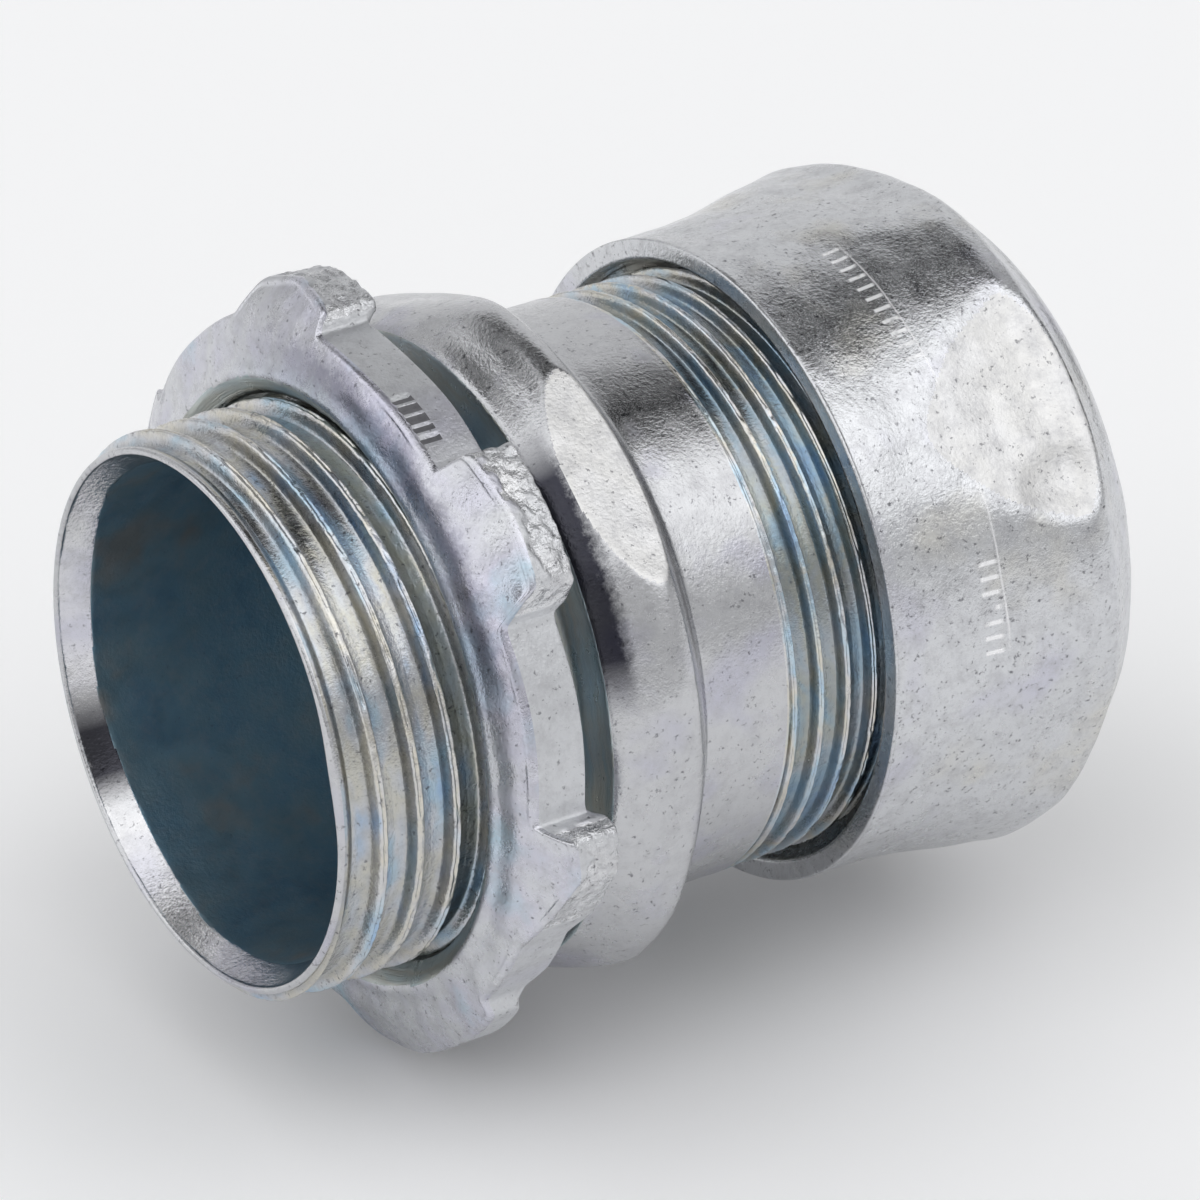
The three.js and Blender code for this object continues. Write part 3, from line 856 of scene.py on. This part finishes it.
def make_gland_nut():
    path, region = nut_section()
    x, r, angle = spin(path, full_circle(COLUMNS))
    at = to_points(x, r, angle)
    kinds = region[:, None].repeat(COLUMNS, 1)

    rows = region == GROOVED
    height = thread(x[rows], angle[rows], GLAND_PHASE, GLAND_PITCH, NECK_R - GLAND_ROOT_R)
    back_end = smooth(NUT_THREAD_END - 0.8, NUT_THREAD_END - 0.2, x[rows])
    front_end = smooth(NUT_THREAD_START + 0.8, NUT_THREAD_START + 0.2, x[rows])
    relief = np.maximum(back_end, front_end) * (NUT_RELIEF_R - GLAND_ROOT_R - 0.2)
    r[rows] = r[rows] + np.maximum(height, relief)

    rows = region == OUTSIDE
    worn = wear(angle[rows], NUT_TURN)
    flat_r = HEX_FLAT_R - 0.05 + 0.3 * smooth(36.5, 38.3, x[rows]) + 0.15 * worn
    flat = hex_flat(angle[rows], NUT_TURN, flat_r)
    kinds[rows] = np.where((flat < r[rows] - 0.12) & (worn < 0.5), PRESSED, OUTSIDE)
    r[rows] = soft_min(r[rows], flat, 0.2 + 0.5 * worn)
    across = (angle[rows] - MARK_TURN) * MARK_R
    mark = np.hypot((x[rows] - MARK_X) / MARK_REACH_X, across / MARK_REACH_ACROSS)
    r[rows] -= MARK_DEPTH * np.clip(1 - mark ** 2, 0, 1) ** 1.5
    r[rows] -= 0.03 + 0.012 * rumple(at[rows], 2.8, 32) + 0.02 * rumple(at[rows], 9.0, 33)
    r = np.minimum(r, NUT_CORNER_R)
    return add_mesh("gland_nut_shell", *loop_grid(x, r, angle, kinds), "gland_nut", NUT_MATERIALS)


gland_nut = make_gland_nut()

# ---- compression ring -----------------------------------------------------------------------------------

RING_TIP_R = 12.1
RING_SHOULDER = 1.6
RING_MIDDLE_R = 12.5
RING_GAP = 2.4
RING_GAP_TURN = math.radians(60)


def ring_caps(rows):
    """Faces that close both cut ends of the split ring, as strips between the two sides of its section."""
    index = np.arange(rows * RING_COLUMNS).reshape(rows, RING_COLUMNS)
    caps = []
    for column, way_round in ((0, 1), (-1, -1)):
        edge = index[:, column]
        for i in range(rows // 2 - 1):
            corners = [i, i + 1, rows - 2 - i, rows - 1 - i]
            caps.append(edge[corners[::way_round]])
    return np.array(caps)


def make_ring():
    bore_r = CONDUIT_R + 0.1
    outside = [
        (RING_START, RING_TIP_R), (RING_START + RING_SHOULDER, 12.95), ((RING_START + RING_END) / 2, 13.1),
        (RING_END - RING_SHOULDER, 12.95), (RING_END, RING_TIP_R),
    ]
    path, region = section([
        (0, curve_path(outside, 48)),
        (0, line_path(RING_END, RING_TIP_R - 0.1, RING_END, bore_r + 0.05, 3)),
        (0, line_path(RING_END - 0.05, bore_r, RING_START + 0.05, bore_r, 20)),
        (0, line_path(RING_START, bore_r + 0.05, RING_START, RING_TIP_R - 0.1, 3)),
    ])
    half_gap = math.asin(RING_GAP / 2 / RING_MIDDLE_R)
    turns = np.linspace(RING_GAP_TURN + half_gap, RING_GAP_TURN + 2 * math.pi - half_gap, RING_COLUMNS)
    points, faces, region, uv = loop_grid(*spin(path, turns), region, open_ends=True)
    caps = ring_caps(len(path))
    faces = np.concatenate([faces, caps])
    region = np.concatenate([region, np.zeros(len(caps), int)])
    uv = np.concatenate([uv, np.zeros((caps.size, 2))])
    return add_mesh("split_ring", points, faces, region, uv, "compression_ring", [plain])


ring = make_ring()

# ---- floor, light and camera ----------------------------------------------------------------------------

FLOOR_SHADE = (0.86, 0.86, 0.865)
FLOOR_WHITE = (0.95, 0.95, 0.955)
FLOOR_GLOW = 0.13
SHADE_START, SHADE_END = 0.004, 0.032  # from the middle of the floor, in metres
SHADE_SHAPE = (0.75, 1.0, 0.0)  # the shade is longer along X


def make_floor():
    """A white floor that glows a little, apart from a soft shade under the fitting."""
    bpy.ops.mesh.primitive_plane_add(size=6, location=(0, 0, 0))
    floor = bpy.context.object
    floor.name = "floor"
    n = Nodes("floor_white")
    from_middle = n.add("ShaderNodeVectorMath", operation="LENGTH")
    n.join(n.scaled(n.place.outputs["Object"], SHADE_SHAPE), from_middle.inputs[0])
    open_floor = n.remap(from_middle.outputs["Value"], SHADE_START, SHADE_END)
    open_floor.node.interpolation_type = "SMOOTHSTEP"
    paint = n.ramp(open_floor, [(0, FLOOR_SHADE), (1, FLOOR_WHITE)])
    n.join(paint, n.shader.inputs["Base Color"])
    n.shader.inputs["Roughness"].default_value = 0.8
    n.shader.inputs["Emission Color"].default_value = (1, 1, 1, 1)
    n.join(n.times(open_floor, FLOOR_GLOW), n.shader.inputs["Emission Strength"])
    floor.data.materials.append(n.material)


make_floor()

BACKDROP_LEVEL = 0.57
BACKDROP_COLOUR = (0.985, 0.99, 1.0, 1)

# Bright panels and dark gaps round the fitting: direction, radius of the even middle and of the soft edge in
# degrees, and brightness.
PANELS = [
    ((0.45, 0.75, 0.48), 24, 32, 0.78),
    ((0.28, 0.26, 0.92), 12, 17, 0.03),
    ((-0.75, 0.15, 0.62), 38, 48, 1.25),
    ((0.10, 0.62, 0.78), 9, 13, 0.05),
    ((-0.27, 0.50, 0.82), 8, 12, 0.04),
    ((-0.34, 0.28, 0.90), 6, 10, 0.05),
    ((0.484, 0.10, 0.87), 13, 17, 0.02),
    ((0.484, -0.529, 0.698), 20, 26, 0.9),
    ((-0.48, -0.35, 0.80), 18, 26, 1.25),
    ((-0.88, -0.39, 0.28), 10, 15, 0.04),
    ((0.96, 0.05, 0.26), 10, 16, 0.05),
]


def studio_world():
    """Even grey surroundings with each panel as a soft-edged round patch of the sky."""
    world = bpy.data.worlds.new("studio")
    bpy.context.scene.world = world
    world.use_nodes = True
    tree = world.node_tree
    tree.nodes.clear()
    backdrop = tree.nodes.new("ShaderNodeBackground")
    backdrop.inputs["Color"].default_value = BACKDROP_COLOUR
    output = tree.nodes.new("ShaderNodeOutputWorld")
    tree.links.new(backdrop.outputs[0], output.inputs["Surface"])
    sky = tree.nodes.new("ShaderNodeTexCoord").outputs["Generated"]
    light = None
    for direction, middle, edge, level in PANELS:
        facing = tree.nodes.new("ShaderNodeVectorMath")
        facing.operation = "DOT_PRODUCT"
        tree.links.new(sky, facing.inputs[0])
        facing.inputs[1].default_value = Vector(direction).normalized()
        patch = tree.nodes.new("ShaderNodeMapRange")
        patch.interpolation_type = "SMOOTHSTEP"
        tree.links.new(facing.outputs["Value"], patch.inputs["Value"])
        patch.inputs["From Min"].default_value = math.cos(math.radians(edge))
        patch.inputs["From Max"].default_value = math.cos(math.radians(middle))
        blend = tree.nodes.new("ShaderNodeMix")
        blend.data_type = "FLOAT"
        tree.links.new(patch.outputs["Result"], blend.inputs[0])
        if light is None:
            blend.inputs[2].default_value = BACKDROP_LEVEL
        else:
            tree.links.new(light, blend.inputs[2])
        blend.inputs[3].default_value = level
        light = blend.outputs[0]
    tree.links.new(light, backdrop.inputs["Strength"])


studio_world()

SUN_ENERGY = 0.42
SUN_ANGLE = 55
SUN_DIRECTION = Vector((0.2, -0.5, 0.8))

sun_data = bpy.data.lights.new("sun", "SUN")
sun_data.energy = SUN_ENERGY
sun_data.angle = math.radians(SUN_ANGLE)
sun = bpy.data.objects.new("sun", sun_data)
sun.rotation_euler = SUN_DIRECTION.to_track_quat("Z", "Y").to_euler()
bpy.context.scene.collection.objects.link(sun)

CAMERA_PLACE = Vector((-0.147302, -0.223982, 0.164101))
CAMERA_AIM = Vector((0.00036, -0.00029, 0.0179))
CAMERA_LENS = 205.7

camera_data = bpy.data.cameras.new("camera")
camera_data.lens = CAMERA_LENS
camera_data.sensor_width = 36
camera_data.clip_start = 0.01
camera = bpy.data.objects.new("camera", camera_data)
camera.location = CAMERA_PLACE
camera.rotation_euler = (CAMERA_AIM - CAMERA_PLACE).to_track_quat("-Z", "Y").to_euler()
bpy.context.scene.collection.objects.link(camera)
bpy.context.scene.camera = camera
bpy.context.scene.view_settings.view_transform = "Standard"
